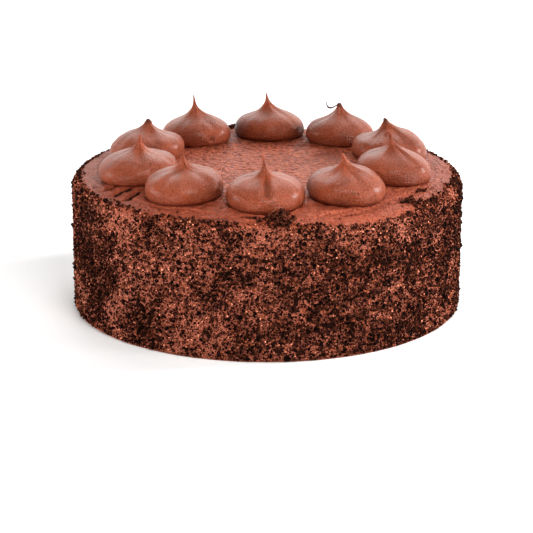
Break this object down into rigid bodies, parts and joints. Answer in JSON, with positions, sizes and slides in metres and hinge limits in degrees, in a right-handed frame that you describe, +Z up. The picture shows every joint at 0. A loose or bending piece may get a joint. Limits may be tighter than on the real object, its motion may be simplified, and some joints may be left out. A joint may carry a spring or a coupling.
{
  "type": "chocolate cake",
  "caption": "Round whole chocolate cake with frosted top, crumb-coated side and a ring of piped peaked dollops; free-standing prepared food.",
  "frame": {"origin": "middle of the cake's flat underside", "axes": "+Z up through the cake's middle, -Y towards the front, where the camera of the picture stands"},
  "size_m": [0.2087, 0.2076, 0.0981],
  "materials": {
    "crumb_coat": "dark chocolate cake crumbs pressed into frosting, matte and rough",
    "frosting": "whipped chocolate frosting, satin"
  },
  "bodies": {
    "root": {"cake": "crumb_coat", "dollop_01": "frosting", "dollop_02": "frosting", "dollop_03": "frosting", "dollop_04": "frosting", "dollop_05": "frosting", "dollop_06": "frosting", "dollop_07": "frosting", "dollop_08": "frosting", "dollop_09": "frosting", "dollop_10": "frosting"}
  },
  "joints": []
}
